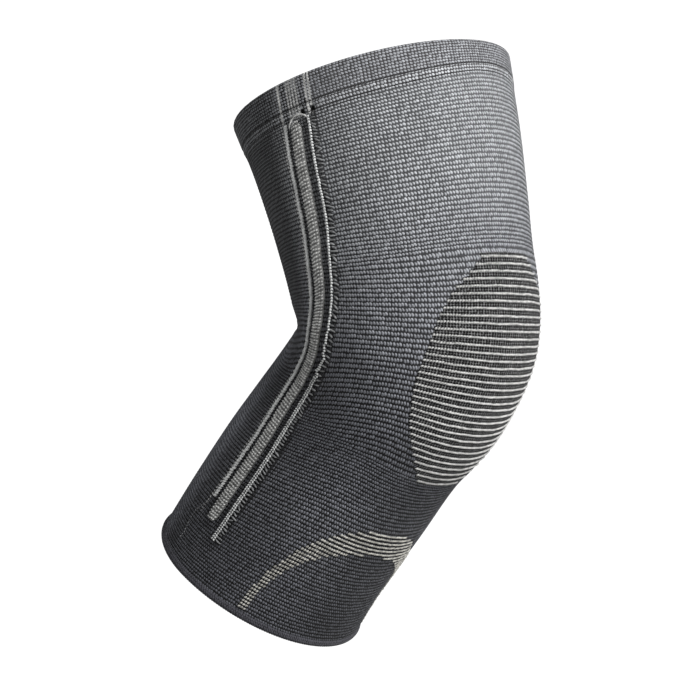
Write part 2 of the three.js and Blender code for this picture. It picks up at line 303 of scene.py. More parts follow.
def face(turn, course):
    """Points of the knit's outer face."""
    turn, course = np.broadcast_arrays(np.asarray(turn, float), np.asarray(course, float))
    reach = course_reach(turn, course)
    point, up, front = centre_at(reach)
    forward = np.cos(np.radians(turn))
    depth = forward * np.where(forward > 0, front_at(reach), back_at(reach))
    for facing, place, height, length, fade in FORMS:
        along = (reach - place) / (length * BEND_LENGTH)
        reached = np.clip(forward * facing, 0, None) ** fade
        depth = depth + np.sign(forward) * height * KNEE_DIAMETER * np.exp(-along * along) * reached
    top_share = np.clip((reach - BEND_END) / (FULL_REACH - BEND_END), 0, None)
    bottom_share = np.clip((BEND_START - reach) / BEND_START, 0, None)
    slant = top_share * TOP_EDGE_RISE / THIGH_DIAMETER + bottom_share * BOTTOM_EDGE_RISE / CALF_DIAMETER
    point = point + front * depth[..., None] + up * (depth * slant)[..., None]
    point[..., 0] += half_width_at(reach) * np.sin(np.radians(turn))
    return point


def skin(turn, reach, lift):
    """The same points lifted off the knit, square to its face."""
    turn, reach, lift = (np.asarray(x, float) for x in (turn, reach, lift))
    step, stride = 0.5, 0.0005
    across = face(turn + step, reach) - face(turn - step, reach)
    along = face(turn, reach + stride) - face(turn, reach - stride)
    normal = np.cross(across, along)
    normal /= np.linalg.norm(normal, axis=-1, keepdims=True)
    return face(turn, reach) + normal * lift[..., None]


def metres_per_degree(turn, reach):
    return np.linalg.norm(face(turn + 0.5, reach) - face(turn - 0.5, reach), axis=-1)


# The knit's courses counted up from the bottom edge, and the way over the front of the knee
REACHES = np.linspace(0, FULL_REACH, 1200)
MIDWAY = (REACHES[1:] + REACHES[:-1]) / 2
COURSES = np.concatenate([[0], np.cumsum(np.diff(REACHES) / course_pitch_at(MIDWAY))])
FRONT_STRIDES = np.linalg.norm(np.diff(face(0.0, REACHES), axis=0), axis=-1)
FRONT_WAY = np.concatenate([[0], np.cumsum(FRONT_STRIDES)])


def sag(turn, reach):
    """How much lower the course at a place lies there than over the front."""
    around = np.abs(turn)
    by_knee = knee_sag_at(reach) * soft_step(around, SAG_START, SAG_FULL)
    return by_knee + thigh_sag_at(reach) * (1 - np.cos(np.radians(around))) / 2


def course_at(turn, reach):
    return np.interp(reach + sag(turn, reach), REACHES, COURSES)


def reach_of(turn, course):
    """The reach at which a course passes a turn."""
    over_front = np.interp(course, COURSES, REACHES)
    low = 0 * (over_front + turn)
    high = low + FULL_REACH
    for _ in range(24):
        middle = (low + high) / 2
        above = middle + sag(turn, middle) > over_front
        low, high = np.where(above, low, middle), np.where(above, middle, high)
    return (low + high) / 2


def front_way(reach):
    return np.interp(reach, REACHES, FRONT_WAY)


PANEL_MIDDLE_WAY = float(front_way(on_bend(0.5))) - PANEL_MIDDLE_DROP


def panel_place(along, across):
    """Turn and reach of a place on the panel: along from -1 to 1 up it, across in metres."""
    reach = np.interp(PANEL_MIDDLE_WAY + along * PANEL_LENGTH / 2, FRONT_WAY, REACHES)
    return PANEL_TURN + across / metres_per_degree(PANEL_TURN, reach), reach


def inside_panel(turn, reach):
    """How far a place lies inside the panel's outline, in metres; negative outside."""
    along = (front_way(reach) - PANEL_MIDDLE_WAY) / (PANEL_LENGTH / 2)
    half = PANEL_WIDTH / 2 * panel_half_at(np.clip((along + 1) / 2, 0, 1))
    across = np.abs(turn - PANEL_TURN) * metres_per_degree(PANEL_TURN, reach)
    return np.minimum(half - across, (1 - np.abs(along)) * PANEL_LENGTH / 2)


ARCH_SCALE = float(metres_per_degree(np.float64(ARCH_TURN), np.float64(ARCH_HEIGHT / 2)))


def inside_arch(turn, reach):
    """True where a place lies on the arch's band."""
    power = 2 / ARCH_SQUARENESS
    across = np.abs(turn - ARCH_TURN) * ARCH_SCALE
    up = np.clip(reach - BODY_BOTTOM, 0, None)
    half, height = ARCH_WIDTH / 2, ARCH_HEIGHT - BODY_BOTTOM
    outer = (across / half) ** power + (up / height) ** power
    inner = (across / (half - ARCH_FOOT)) ** power + (up / (height - ARCH_CROWN)) ** power
    return (outer <= 1) & (inner >= 1)


def beside_channel(turn, reach):
    """Metres in front of the middle of the nearer stay channel."""
    return (channel_turn_at(reach) - np.abs(turn)) * metres_per_degree(np.abs(turn), reach)


def coordinates(mesh):
    flat = np.empty(len(mesh.vertices) * 3)
    mesh.vertices.foreach_get("co", flat)
    return flat.reshape(-1, 3).astype(float)


def make_piece(name, bm, place, maps=None):
    """Lays a flat pattern on the leg. place gives each vertex's turn, reach and lift, and maps the UV layouts."""
    mesh = bpy.data.meshes.new(name)
    bm.to_mesh(mesh)
    bm.free()
    flat = coordinates(mesh)
    turn, reach, lift = place(*flat.T)
    corners = np.empty(len(mesh.loops), int)
    mesh.loops.foreach_get("vertex_index", corners)
    for map_name, layout in (maps or {}).items():
        layer = mesh.uv_layers.new(name=map_name)
        layer.data.foreach_set("uv", np.stack(layout(turn, reach), -1)[corners].ravel())
    mesh.vertices.foreach_set("co", skin(turn, reach, lift).ravel())
    joined = bmesh.new()
    joined.from_mesh(mesh)
    bmesh.ops.remove_doubles(joined, verts=joined.verts, dist=1e-6)
    bmesh.ops.recalc_face_normals(joined, faces=joined.faces)
    joined.to_mesh(mesh)
    joined.free()
    mesh.shade_smooth()
    piece = bpy.data.objects.new(name, mesh)
    bpy.context.scene.collection.objects.link(piece)
    return piece


def grid(bm, columns, rows):
    """A flat grid whose vertices lie at whole numbers of columns and rows. Gives back its vertices."""
    made = bmesh.ops.create_grid(bm, x_segments=columns, y_segments=rows, size=1)["verts"]
    for vert in made:
        vert.co.x = round((vert.co.x + 1) / 2 * columns)
        vert.co.y = round((vert.co.y + 1) / 2 * rows)
    return made


# Columns round half the leg: in front of the stay channel, across it and behind it
FRONT_COLUMNS, BAND_COLUMNS, BACK_COLUMNS = 28, 34, 14
HALF_COLUMNS = FRONT_COLUMNS + BAND_COLUMNS + BACK_COLUMNS
BAND_FRONT, BAND_BACK = 16.0, 13.0


def column_turn(column, reach):
    """Turn of a column, counted from the back round the outer side. Columns are close together at the channels."""
    place = np.abs(column - HALF_COLUMNS)
    middle = channel_turn_at(reach)
    before = place / FRONT_COLUMNS * (middle - BAND_FRONT)
    on_band = middle - BAND_FRONT + (place - FRONT_COLUMNS) / BAND_COLUMNS * (BAND_FRONT + BAND_BACK)
    start = middle + BAND_BACK
    behind = start + (place - FRONT_COLUMNS - BAND_COLUMNS) / BACK_COLUMNS * (180 - start)
    turn = np.where(place <= FRONT_COLUMNS, before, np.where(place <= HALF_COLUMNS - BACK_COLUMNS, on_band, behind))
    return np.sign(column - HALF_COLUMNS) * turn


def ring_piece(name, reaches, lifts, shape, maps, settle=None):
    """A ring round the whole leg. Its closed section is given by reaches and lifts, shape adds its relief,
    and settle moves the reach of its rows from turn to turn."""
    bm = bmesh.new()
    grid(bm, 2 * HALF_COLUMNS, len(reaches) - 1)
    reaches, lifts = np.array(reaches), np.array(lifts)

    def place(column, row, _):
        row = np.round(row).astype(int)
        reach = reaches[row]
        turn = column_turn(np.round(column), reach)
        if settle:
            reach = settle(turn, row, reach)
        return turn, reach, lifts[row] + shape(turn, reach, lifts[row])

    return make_piece(name, bm, place, maps)


def knit_map(turn, reach):
    return turn * WALES / 360, course_at(turn, reach)


def channel_map(turn, reach):
    return beside_channel(turn, reach) * 1000, reach * 1000


def lay_tube(bm, path, width, height, sides):
    """A closed tube along a path of the flat pattern, pointed at its ends."""
    path = np.asarray(path, float)
    steps = len(path) - 1
    verts = grid(bm, steps, sides)
    along = np.gradient(path, axis=0)
    along /= np.linalg.norm(along, axis=1, keepdims=True)
    aside = np.stack([along[:, 1], -along[:, 0], np.zeros(steps + 1)], 1)
    ends = np.minimum(np.arange(steps + 1), steps - np.arange(steps + 1))
    taper = np.where(ends == 0, 0, np.where(ends == 1, 0.75, 1.0))
    half_width, half_height = (np.broadcast_to(x, steps + 1) / 2 * taper for x in (width, height))
    for vert in verts:
        i, j = int(vert.co.x), int(vert.co.y)
        angle = 2 * math.pi * (j % sides) / sides
        out = aside[i] * math.cos(angle) * half_width[i]
        vert.co = Vector(path[i] + out) + Vector((0, 0, math.sin(angle) * half_height[i]))


def lay_beads(bm, beads, detail=2):
    """Stitches of yarn: an oval bead on the flat pattern for each place, size and slant."""
    bead = bmesh.new()
    bmesh.ops.create_icosphere(bead, subdivisions=detail, radius=0.5)
    mesh = bpy.data.meshes.new("bead")
    bead.to_mesh(mesh)
    bead.free()
    shape = coordinates(mesh)
    for at, size, slant in beads:
        x, y, z = (shape * size).T
        turned = (x * math.cos(slant) - y * math.sin(slant), x * math.sin(slant) + y * math.cos(slant), z)
        mesh.vertices.foreach_set("co", (np.stack(turned, 1) + at).ravel())
        bm.from_mesh(mesh)
    bpy.data.meshes.remove(mesh)


def bead_piece(name, beads, place):
    """A piece made of beads alone."""
    bm = bmesh.new()
    lay_beads(bm, beads)
    return make_piece(name, bm, place)


class Value:
    """A number that shader nodes work out, so that a material is written as plain arithmetic."""

    def __init__(self, tree, socket):
        self.tree, self.socket = tree, socket

    def math(self, operation, *others):
        return calc(self.tree, operation, self, *others)

    def __add__(self, other):
        return self.math("ADD", other)

    def __sub__(self, other):
        return self.math("SUBTRACT", other)

    def __rsub__(self, other):
        return calc(self.tree, "SUBTRACT", other, self)

    def __mul__(self, other):
        return self.math("MULTIPLY", other)

    def __truediv__(self, other):
        return self.math("DIVIDE", other)


def feed(tree, value, socket):
    """Links a value to a socket, or sets it there."""
    value = getattr(value, "socket", value)
    if isinstance(value, bpy.types.NodeSocket):
        tree.links.new(value, socket)
    else:
        socket.default_value = value


def add(tree, kind, inputs=None, **settings):
    """Adds a node; inputs are values to link or to set, by socket name or number."""
    node = tree.nodes.new(kind)
    for name, value in settings.items():
        setattr(node, name, value)
    for name, value in (inputs or {}).items():
        feed(tree, value, node.inputs[name])
    return node


def calc(tree, operation, *values, clamp=False):
    node = add(tree, "ShaderNodeMath", dict(enumerate(values)), operation=operation, use_clamp=clamp)
    return Value(tree, node.outputs[0])


def split(tree, vector, kind="XYZ"):
    """The three numbers of a vector or a colour."""
    return [Value(tree, x) for x in add(tree, "ShaderNodeSeparate" + kind, {0: vector}).outputs]


def layout(tree, name):
    return add(tree, "ShaderNodeUVMap", uv_map=name).outputs[0]


def closer(tree, knit, times):
    """A knit layout with its courses closer together."""
    inputs = {0: knit, 1: (1.0, times, 1.0)}
    return add(tree, "ShaderNodeVectorMath", inputs, operation="MULTIPLY").outputs[0]


def ramp(value, low, high, to_low=0.0, to_high=1.0):
    """A value between low and high brought smoothly to another range."""
    inputs = {"Value": value, "From Min": low, "From Max": high, "To Min": to_low, "To Max": to_high}
    node = add(value.tree, "ShaderNodeMapRange", inputs, interpolation_type="SMOOTHSTEP")
    return Value(value.tree, node.outputs[0])


def mix(tree, share, low, high, blend="MIX", kind="Color"):
    """One colour, or one vector, over another by a share."""
    data_type = "RGBA" if kind == "Color" else "VECTOR"
    node = add(tree, "ShaderNodeMix", data_type=data_type, blend_type=blend)
    sockets = {x.identifier: x for x in (*node.inputs, *node.outputs)}
    for name, value in (("Factor_Float", share), (f"A_{kind}", low), (f"B_{kind}", high)):
        feed(tree, (*value, 1) if isinstance(value, tuple) else value, sockets[name])
    return sockets[f"Result_{kind}"]


def scaled(tree, colour, factor):
    """A colour made lighter or darker by a value."""
    spread = add(tree, "ShaderNodeCombineColor", {0: factor, 1: factor, 2: factor})
    return mix(tree, 1.0, colour, spread.outputs[0], "MULTIPLY")


def tinted(colour, factor):
    """A colour made lighter or darker by a fixed number."""
    return tuple(part * factor for part in colour)


def shader_group(name, vectors, numbers, outputs):
    """A new group: its tree, the values it takes, by name, and its output node's sockets."""
    tree = bpy.data.node_groups.new(name, "ShaderNodeTree")
    sockets = [(x, "INPUT", "Vector") for x in vectors] + [(x, "INPUT", "Float") for x in numbers]
    for label, in_out, kind in sockets + [(x, "OUTPUT", "Float") for x in outputs]:
        tree.interface.new_socket(label, in_out=in_out, socket_type="NodeSocket" + kind)
    taken = {x.name: Value(tree, x) for x in tree.nodes.new("NodeGroupInput").outputs}
    return tree, taken, tree.nodes.new("NodeGroupOutput").inputs


def use_group(tree, name, **inputs):
    """Adds a shared group, built the first time it is asked for, and gives back its outputs by name."""
    if name not in bpy.data.node_groups:
        SHARED_GROUPS[name]()
    node = add(tree, "ShaderNodeGroup", node_tree=bpy.data.node_groups[name])
    for label, value in inputs.items():
        feed(tree, value, node.inputs[label])
    return {x.name: Value(tree, x) for x in node.outputs}


def build_stitches_group():
    """Beads of yarn on a knit layout, one to each wale and course."""
    numbers = ("Slant", "Width", "Height", "Waver")
    tree, take, give = shader_group("Stitches", ("Knit",), numbers, ("Yarn", "Rise", "Chance"))
    nudge_range, girth_range = 0.16, 0.24
    drift = add(tree, "ShaderNodeTexNoise", {"Vector": take["Knit"], "Scale": 0.37, "Detail": 2.0})
    sway, heave, _ = split(tree, drift.outputs["Color"], "Color")
    wales, courses, _ = split(tree, take["Knit"])
    course = courses + (heave - 0.5) * take["Waver"]
    up = course.math("FRACT") - 0.5
    wale = (sway - 0.5) * take["Waver"] * 2.0 + (up * take["Slant"] + wales)
    aside = wale.math("FRACT") - 0.5
    cell = add(tree, "ShaderNodeCombineXYZ", {0: wale.math("FLOOR"), 1: course.math("FLOOR")})
    chance = add(tree, "ShaderNodeTexWhiteNoise", {"Vector": cell.outputs[0]}, noise_dimensions="3D")
    shift, swell, _ = split(tree, chance.outputs["Color"], "Color")
    nudge = (shift - 0.5) * nudge_range
    girth = swell * girth_range + (1 - girth_range / 2)
    x = (aside + nudge) / (take["Width"] * girth)
    y = (up - nudge) / (take["Height"] * girth)
    square = x * x + y * y
    feed(tree, ramp(square, 1.15, 0.5), give["Yarn"])
    feed(tree, calc(tree, "SUBTRACT", 1.0, square, clamp=True).math("SQRT"), give["Rise"])
    feed(tree, chance.outputs["Value"], give["Chance"])


def build_band_group():
    """A soft-edged band of values about a middle."""
    tree, take, give = shader_group("Band", (), ("Value", "Middle", "Half", "Softness"), ("Mask",))
    away = (take["Value"] - take["Middle"]).math("ABSOLUTE")
    mask = ramp(away, take["Half"] + take["Softness"], take["Half"] - take["Softness"])
    feed(tree, mask, give["Mask"])


def build_heather_group():
    """Slow and fine unevenness of dyed yarn, as a factor on its colour, and loose fibres as a height."""
    tree, take, give = shader_group("Heather", ("Vector",), ("Slow", "Fine"), ("Shade", "Fibre"))
    slow = noise(tree, take["Vector"], 60.0, 4.0)
    fine = noise(tree, take["Vector"], 1600.0, 3.0)
    uneven = (slow - 0.5) * take["Slow"] + (fine - 0.5) * take["Fine"]
    feed(tree, uneven * 2.0 + 1.0, give["Shade"])
    feed(tree, fine, give["Fibre"])


SHARED_GROUPS = {"Stitches": build_stitches_group, "Band": build_band_group, "Heather": build_heather_group}


def noise(tree, vector, scale, detail):
    node = add(tree, "ShaderNodeTexNoise", {"Vector": vector, "Scale": scale, "Detail": detail})
    return Value(tree, node.outputs[0])


def band(value, middle, half, softness):
    return use_group(value.tree, "Band", Value=value, Middle=middle, Half=half, Softness=softness)["Mask"]


def on_object(tree):
    return add(tree, "ShaderNodeTexCoord").outputs["Object"]


def new_material(name):
    """Matt, slightly fuzzy yarn."""
    material = bpy.data.materials.new(name)
    material.use_nodes = True
    tree = material.node_tree
    shader = tree.nodes["Principled BSDF"]
    shader.inputs["Roughness"].default_value = 0.92
    shader.inputs["Sheen Weight"].default_value = 0.12
    shader.inputs["Sheen Roughness"].default_value = 0.5
    shader.inputs["Specular IOR Level"].default_value = 0.15
    return material, tree, shader


def finish_material(tree, shader, colour, height, distance):
    """Connects the colour and the relief to the shader."""
    bump = add(tree, "ShaderNodeBump", {"Height": height, "Distance": distance})
    feed(tree, colour, shader.inputs["Base Color"])
    feed(tree, bump.outputs[0], shader.inputs["Normal"])


# Lightness of the body's stitches up the sleeve: reach, and share of the yarn's colour
YARN_SHADES = (
    (0.005, 0.26),
    (0.030, 0.31),
    (0.075, 0.43),
    (0.100, 0.34),
    (0.125, 0.35),
    (0.150, 0.54),
    (0.175, 0.72),
    (0.200, 0.88),
    (0.225, 0.98),
    (0.262, 1.0),
)

# Strips of the knit beside the channel, in millimetres in front of its middle: middle, half width and softness
BARE_STRIP = (10.4, 1.8, 0.8)
# Painted shadow beside the ribbon, in front of it and behind it
FRONT_GUTTER_SHADOW = (5.2, 1.6, 0.5)
BACK_GUTTER_SHADOW = (-4.6, 1.3, 0.5)
BRIGHT_WALE = (-9.6, 0.5, 0.3)
# Painted shade on the cuff's ground across the channel
CUFF_GUTTER_SHADE = (1.0, 10.6, 0.5)
CUFF_THIN_STRIPE = (-8.3, 0.7, 0.35)
CUFF_RIBBON = (0.4, 3.6, 0.4)
CUFF_RIB_PITCH = 1.8
CUFF_TWIN_STRIPE = (9.4, 1.6, 0.3)
CUFF_TWIN_SPLIT = (9.4, 0.35, 0.3)


def shades_up_sleeve(tree, reach):
    """The stitches' lightness at a reach in millimetres: a little bluer where it is darker."""
    node = add(tree, "ShaderNodeValToRGB", {0: reach / (FULL_REACH * 1000)})
    stops = node.color_ramp.elements
    while len(stops) < len(YARN_SHADES):
        stops.new(1.0)
    for stop, (place_up, share) in zip(stops, YARN_SHADES):
        stop.position = place_up / FULL_REACH
        stop.color = (share, share, share * (1 + 0.12 * (1 - share)), 1)
    return node.outputs[0]


def knit_material(colours):
    """The sleeve's body: light stitches on dark ground. Places are in millimetres before the channel and up."""
    material, tree, shader = new_material("grey elastic knit")
    across, reach, _ = split(tree, layout(tree, "channel"))
    knit = layout(tree, "knit")
    stitch = use_group(tree, "Stitches", Knit=knit, Slant=0.4, Width=0.46, Height=0.40, Waver=0.2)
    heather = use_group(tree, "Heather", Vector=on_object(tree), Slow=0.16, Fine=0.5)

    # Behind the channel the knit is stretched thin, so its stitches show less, but not on the calf
    behind = ramp(across, -9.0, -22.0)
    calf = ramp(across, -13.0, -30.0) * ramp(reach, 150.0, 100.0)
    yarn = stitch["Yarn"] * (behind * -0.45 + 1.0 + calf * 0.45)

    # Dark elastic ground laid bare beside the front piping, where the stitches are pulled
    bare = band(across, *BARE_STRIP) * ramp(reach, 22.0, 30.0)
    yarn = yarn * (bare * -0.7 + 1.0)

    # Shadowed knit on both sides of the ribbon, and a bright wale behind the back piping
    above_end = ramp(reach, 28.0, 36.0)
    gutter_shadows = band(across, *FRONT_GUTTER_SHADOW).math("MAXIMUM", band(across, *BACK_GUTTER_SHADOW)) * above_end
    dots = band(across, *BRIGHT_WALE) * stitch["Yarn"] * above_end

    # Painted shade makes the knit darker near the channel, behind it on the thigh and over the shin, where the leg
    # turns away from the light, and painted light makes it lighter on the calf
    near = ramp(across, 12.0, 50.0, 0.79, 1.0)
    painted_back_shade = behind * ramp(reach, 140.0, 200.0) * -0.5 + 1.0
    painted_shin_shade = ramp(across, 50.0, 85.0) * ramp(reach, 125.0, 95.0) * -0.45 + 1.0
    painted_shading = near * painted_back_shade * painted_shin_shade * (calf * 0.9 + 1.0)
    shades = shades_up_sleeve(tree, reach)
    light = mix(tree, 1.0, colours["yarn"], shades, "MULTIPLY")
    light = scaled(tree, light, (stitch["Chance"] * 0.28 + 0.86) * painted_shading * heather["Shade"])

    # Where the knit is light its ground is light too
    lit = split(tree, shades, "Color")[0]
    filled = calf * 0.2 + ramp(across, 50.0, 95.0, 0.16, 0.26) * lit * lit
    between = mix(tree, filled * painted_shading, colours["ground"], light)
    base = mix(tree, yarn, between, light)
    base = mix(tree, dots * 0.8, base, colours["light_yarn"])
    base = mix(tree, bare * 0.5, base, tinted(colours["ground"], 0.4))
    base = scaled(tree, base, gutter_shadows * -0.55 + 1.0)
    finish_material(tree, shader, base, heather["Fibre"] * 0.25 + stitch["Rise"], 0.0007)
    return material


def cuff_material(colours):
    """The cuff: a finer, flatter knit with light stripes that run up from the stay channel."""
    material, tree, shader = new_material("cuff knit")
    across, reach, _ = split(tree, layout(tree, "channel"))
    knit = layout(tree, "knit")
    upper, lower = (CUFF_BOTTOM + CUFF_SEAM_UP) * 1000, (CUFF_BOTTOM + CUFF_SEAM_DOWN) * 1000

    # Below the upper row of sewing the body's own knit shows
    low = ramp(reach, upper, upper - 0.3)
    shown = mix(tree, low, closer(tree, knit, 1.15), knit, kind="Vector")
    stitch = use_group(tree, "Stitches", Knit=shown, Slant=0.3, Width=0.45, Height=0.43, Waver=0.2)
    heather = use_group(tree, "Heather", Vector=on_object(tree), Slow=0.15, Fine=0.4)

    # Stripes over the channel: a thin one behind it, the ribs of the ribbon, and a twin one before it
    comb = (across * (math.pi / CUFF_RIB_PITCH)).math("SINE").math("ABSOLUTE")
    ribbon = band(across, *CUFF_RIBBON) * ramp(comb, 0.25, 0.75)
    twin = calc(tree, "SUBTRACT", band(across, *CUFF_TWIN_STRIPE), band(across, *CUFF_TWIN_SPLIT), clamp=True)
    stripes = band(across, *CUFF_THIN_STRIPE).math("MAXIMUM", twin).math("MAXIMUM", ribbon * 0.75)

    # The two rows of sewing, dashed by the wales
    wales = split(tree, knit)[0]
    dashes = ramp((wales * math.pi).math("SINE").math("ABSOLUTE"), 0.1, 0.5)
    seam = band(reach, upper, 0.30, 0.22).math("MAXIMUM", band(reach, lower, 0.30, 0.22)) * dashes

    # The two holes under the upper row, beside the channel, filled with painted shade
    down = reach - (upper - CUFF_HOLE_DROP * 1000)
    holes = []
    for middle, _ in CUFF_HOLES:
        away = across - middle * 1000
        holes.append(ramp(down * down * 0.7 + away * away, 2.6, 0.6))

    factor = (stitch["Chance"] * 0.4 + 0.8) * heather["Shade"]
    # Painted shade: the cuff is darker behind the channel, and a little darker for a few centimetres in front of it
    painted_shading = factor * ramp(across, -7.0, -20.0, 1.0, 0.52) * ramp(across, 10.0, 45.0, 0.85, 1.0)
    plain = mix(tree, low, colours["cuff"], colours["yarn"])
    light = mix(tree, stripes, scaled(tree, plain, painted_shading), scaled(tree, colours["light_yarn"], factor))
    # Painted shade darkens the ground across the channel and behind it; elsewhere the ground is lighter
    deep = band(across, *CUFF_GUTTER_SHADE).math("MAXIMUM", ramp(across, -7.0, -16.0))
    dark = mix(tree, deep, tinted(colours["ground"], 5), colours["ground"])
    base = mix(tree, stitch["Yarn"].math("MAXIMUM", stripes * 0.75), dark, light)
    base = mix(tree, seam * 0.95, base, tinted(colours["ground"], 0.5))
    base = mix(tree, holes[0].math("MAXIMUM", holes[1]), base, tinted(colours["ground"], 0.3))
    finish_material(tree, shader, base, heather["Fibre"] * 0.3 + stitch["Rise"], 0.0004)
    return material


def yarn_material(name, colour, depth=0.25, shade=0.45):
    """Loose, lightly twisted yarn, with painted shade in random patches for where it turns in."""
    material, tree, shader = new_material(name)
    place = on_object(tree)
    heather = use_group(tree, "Heather", Vector=place, Slow=0.2, Fine=depth)
    # Painted shade in random patches, for the yarn turning in
    painted_twist_shade = ramp(noise(tree, place, 420.0, 2.0), 0.38, 0.62)
    dark = scaled(tree, tinted(colour, 1 - shade), heather["Shade"])
    base = mix(tree, painted_twist_shade, dark, scaled(tree, colour, heather["Shade"]))
    finish_material(tree, shader, base, heather["Fibre"], 0.0002)
    return material


def panel_ground_material(colours):
    """Ground of the kneecap panel: two rows of dark openings between one rib and the next."""
    material, tree, shader = new_material("kneecap panel ground")
    rows = closer(tree, layout(tree, "ribs"), 3.0)
    opening = use_group(tree, "Stitches", Knit=rows, Slant=0.22, Width=0.5, Height=0.58, Waver=0.3)
    heather = use_group(tree, "Heather", Vector=on_object(tree), Slow=0.3, Fine=0.8)
    light = scaled(tree, colours["strand"], heather["Shade"])
    base = mix(tree, opening["Yarn"], light, tinted(colours["ground"], 0.5))
    finish_material(tree, shader, base, heather["Fibre"] * 0.2 + (1.0 - opening["Rise"]), 0.0004)
    return material


def hem_material(colours):
    """Overlock thread of the hem, wound close together."""
    material, tree, shader = new_material("overlock thread")
    loops = layout(tree, "loops")
    stitch = use_group(tree, "Stitches", Knit=loops, Slant=0.6, Width=0.48, Height=0.6, Waver=0.2)
    heather = use_group(tree, "Heather", Vector=on_object(tree), Slow=0.2, Fine=0.3)
    light = scaled(tree, colours["hem"], heather["Shade"])
    base = mix(tree, stitch["Yarn"], tinted(colours["hem"], 0.25), light)
    finish_material(tree, shader, base, heather["Fibre"] * 0.3 + stitch["Rise"], 0.0003)
    return material


def sleeve_colours(scene):
    chosen = scene.knee_sleeve_colours
    return {name: tuple(getattr(chosen, name)) for name in KneeSleeveColours.__annotations__}


def hand_over(piece, material, replaced=None):
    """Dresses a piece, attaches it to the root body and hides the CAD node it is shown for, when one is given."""
    piece.data.materials.append(material)
    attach(piece, "root")
    if replaced:
        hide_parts(replaced)


def colour_property(name, description, value):
    return bpy.props.FloatVectorProperty(
        name=name, description=description, default=value, subtype="COLOR", size=3, min=0, max=1
    )


def length_property(name, description, value):
    return bpy.props.FloatProperty(
        name=name, description=description, default=value, min=0, precision=5, subtype="DISTANCE", unit="LENGTH"
    )


class KneeSleeveSizes(bpy.types.PropertyGroup):
    course_depth: length_property("Course depth", "How deep the furrow between two courses is", 0.0005)
    rib_width: length_property("Rib width", "Thickness of the raised yarn on the kneecap panel", 0.0012)
    rib_pitch: length_property("Rib pitch", "Length of one stitch of a rib on the kneecap panel", 0.00146)
    stitch_lift: length_property("Arch stitch lift", "Height of the arch's stitches above the knit", 0.0001)
    ladder_pitch: length_property("Ladder pitch", "Distance between two rungs of the ribbon", 0.00175)
    chain_pitch: length_property("Chain pitch", "Length of one chain stitch of the front piping", 0.0014)
    ply_pitch: length_property("Ply pitch", "Length in which the back piping twists once", 0.0044)
    loop_pitch: length_property("Loop pitch", "Distance between two overlock loops of the hem", 0.0013)


class KneeSleeveColours(bpy.types.PropertyGroup):
    yarn: colour_property("Yarn", "Light stitches of the body", (0.56, 0.575, 0.60))
    ground: colour_property("Ground", "Dark elastic ground between the stitches", (0.014, 0.0135, 0.014))
    cuff: colour_property("Cuff", "Stitches of the cuff", (0.40, 0.41, 0.435))
    light_yarn: colour_property("Light yarn", "Light stripes beside the stay channel", (0.80, 0.80, 0.78))
    pulled: colour_property("Pulled", "Stitches pulled towards the front piping", (0.33, 0.335, 0.34))
    rib: colour_property("Rib", "Raised yarn of the kneecap panel", (0.68, 0.675, 0.66))
    strand: colour_property("Strand", "Strands between the ribs", (0.24, 0.24, 0.24))
    arch: colour_property("Arch", "Stitches of the shin arch", (0.68, 0.665, 0.61))
    ribbon: colour_property("Ribbon", "Ladder stitches over the stay", (0.80, 0.80, 0.78))
    piping: colour_property("Piping", "Bright front piping", (0.88, 0.89, 0.88))
    cord: colour_property("Cord", "Softer back piping", (0.86, 0.87, 0.86))
    hem: colour_property("Hem", "Overlock thread of the hem", (0.085, 0.084, 0.098))
    floor: colour_property("Floor", "Pale sweep under and behind the part", (0.5, 0.5, 0.5))


class KNEESLEEVE_OT_body(bpy.types.Operator):
    """Build the knitted body with its courses, replacing the plain tube"""

    bl_idname = "knee_sleeve.body"
    bl_label = "Knitted Body"

    def execute(self, context):
        sizes = context.scene.knee_sleeve_sizes
        rows_per_course, inner_rows, steepest = 4, 50, 0.18
        first, last = course_at(0, TUCKED_BOTTOM), course_at(0, TUCKED_TOP)
        steps = np.arange(math.ceil(first * rows_per_course), math.floor(last * rows_per_course) + 1)
        between = steps / rows_per_course
        courses = np.concatenate([[first], between[(between > first) & (between < last)], [last]])
        outer = reach_of(0, courses)
        inner = np.linspace(TUCKED_TOP, TUCKED_BOTTOM, inner_rows)
        reaches = np.concatenate([outer, inner, outer[:1]])
        lifts = np.concatenate([np.zeros(len(outer)), np.full(len(inner), -WALL), [0]])

        def settle(turn, row, reach):
            """Rows between the two edges of the outer face follow the courses."""
            on_face = (row > 0) & (row < len(outer) - 1)
            followed = reach_of(turn, courses[np.where(on_face, row, 0)])
            return np.where(on_face, np.clip(followed, TUCKED_BOTTOM, TUCKED_TOP), reach)

        def relief(turn, reach, lift):
            course = course_at(turn, reach)
            half = 0.5 * course_pitch_at(reach)
            pitch = np.linalg.norm(face(turn, reach + half) - face(turn, reach - half), axis=-1)
            depth = np.minimum(sizes.course_depth, steepest * pitch)
            furrow = -depth * (1 - np.sqrt(np.abs(np.sin(np.pi * course))))
            sunk = -PANEL_BED * soft_step(inside_panel(turn, reach), 0.0015, 0.003)
            return np.where(lift == 0, furrow + sunk, 0)

        maps = {"knit": knit_map, "channel": channel_map}
        body = ring_piece("knit_body", reaches, lifts, relief, maps, settle)
        hand_over(body, knit_material(sleeve_colours(context.scene)), "sleeve_body")
        return {"FINISHED"}


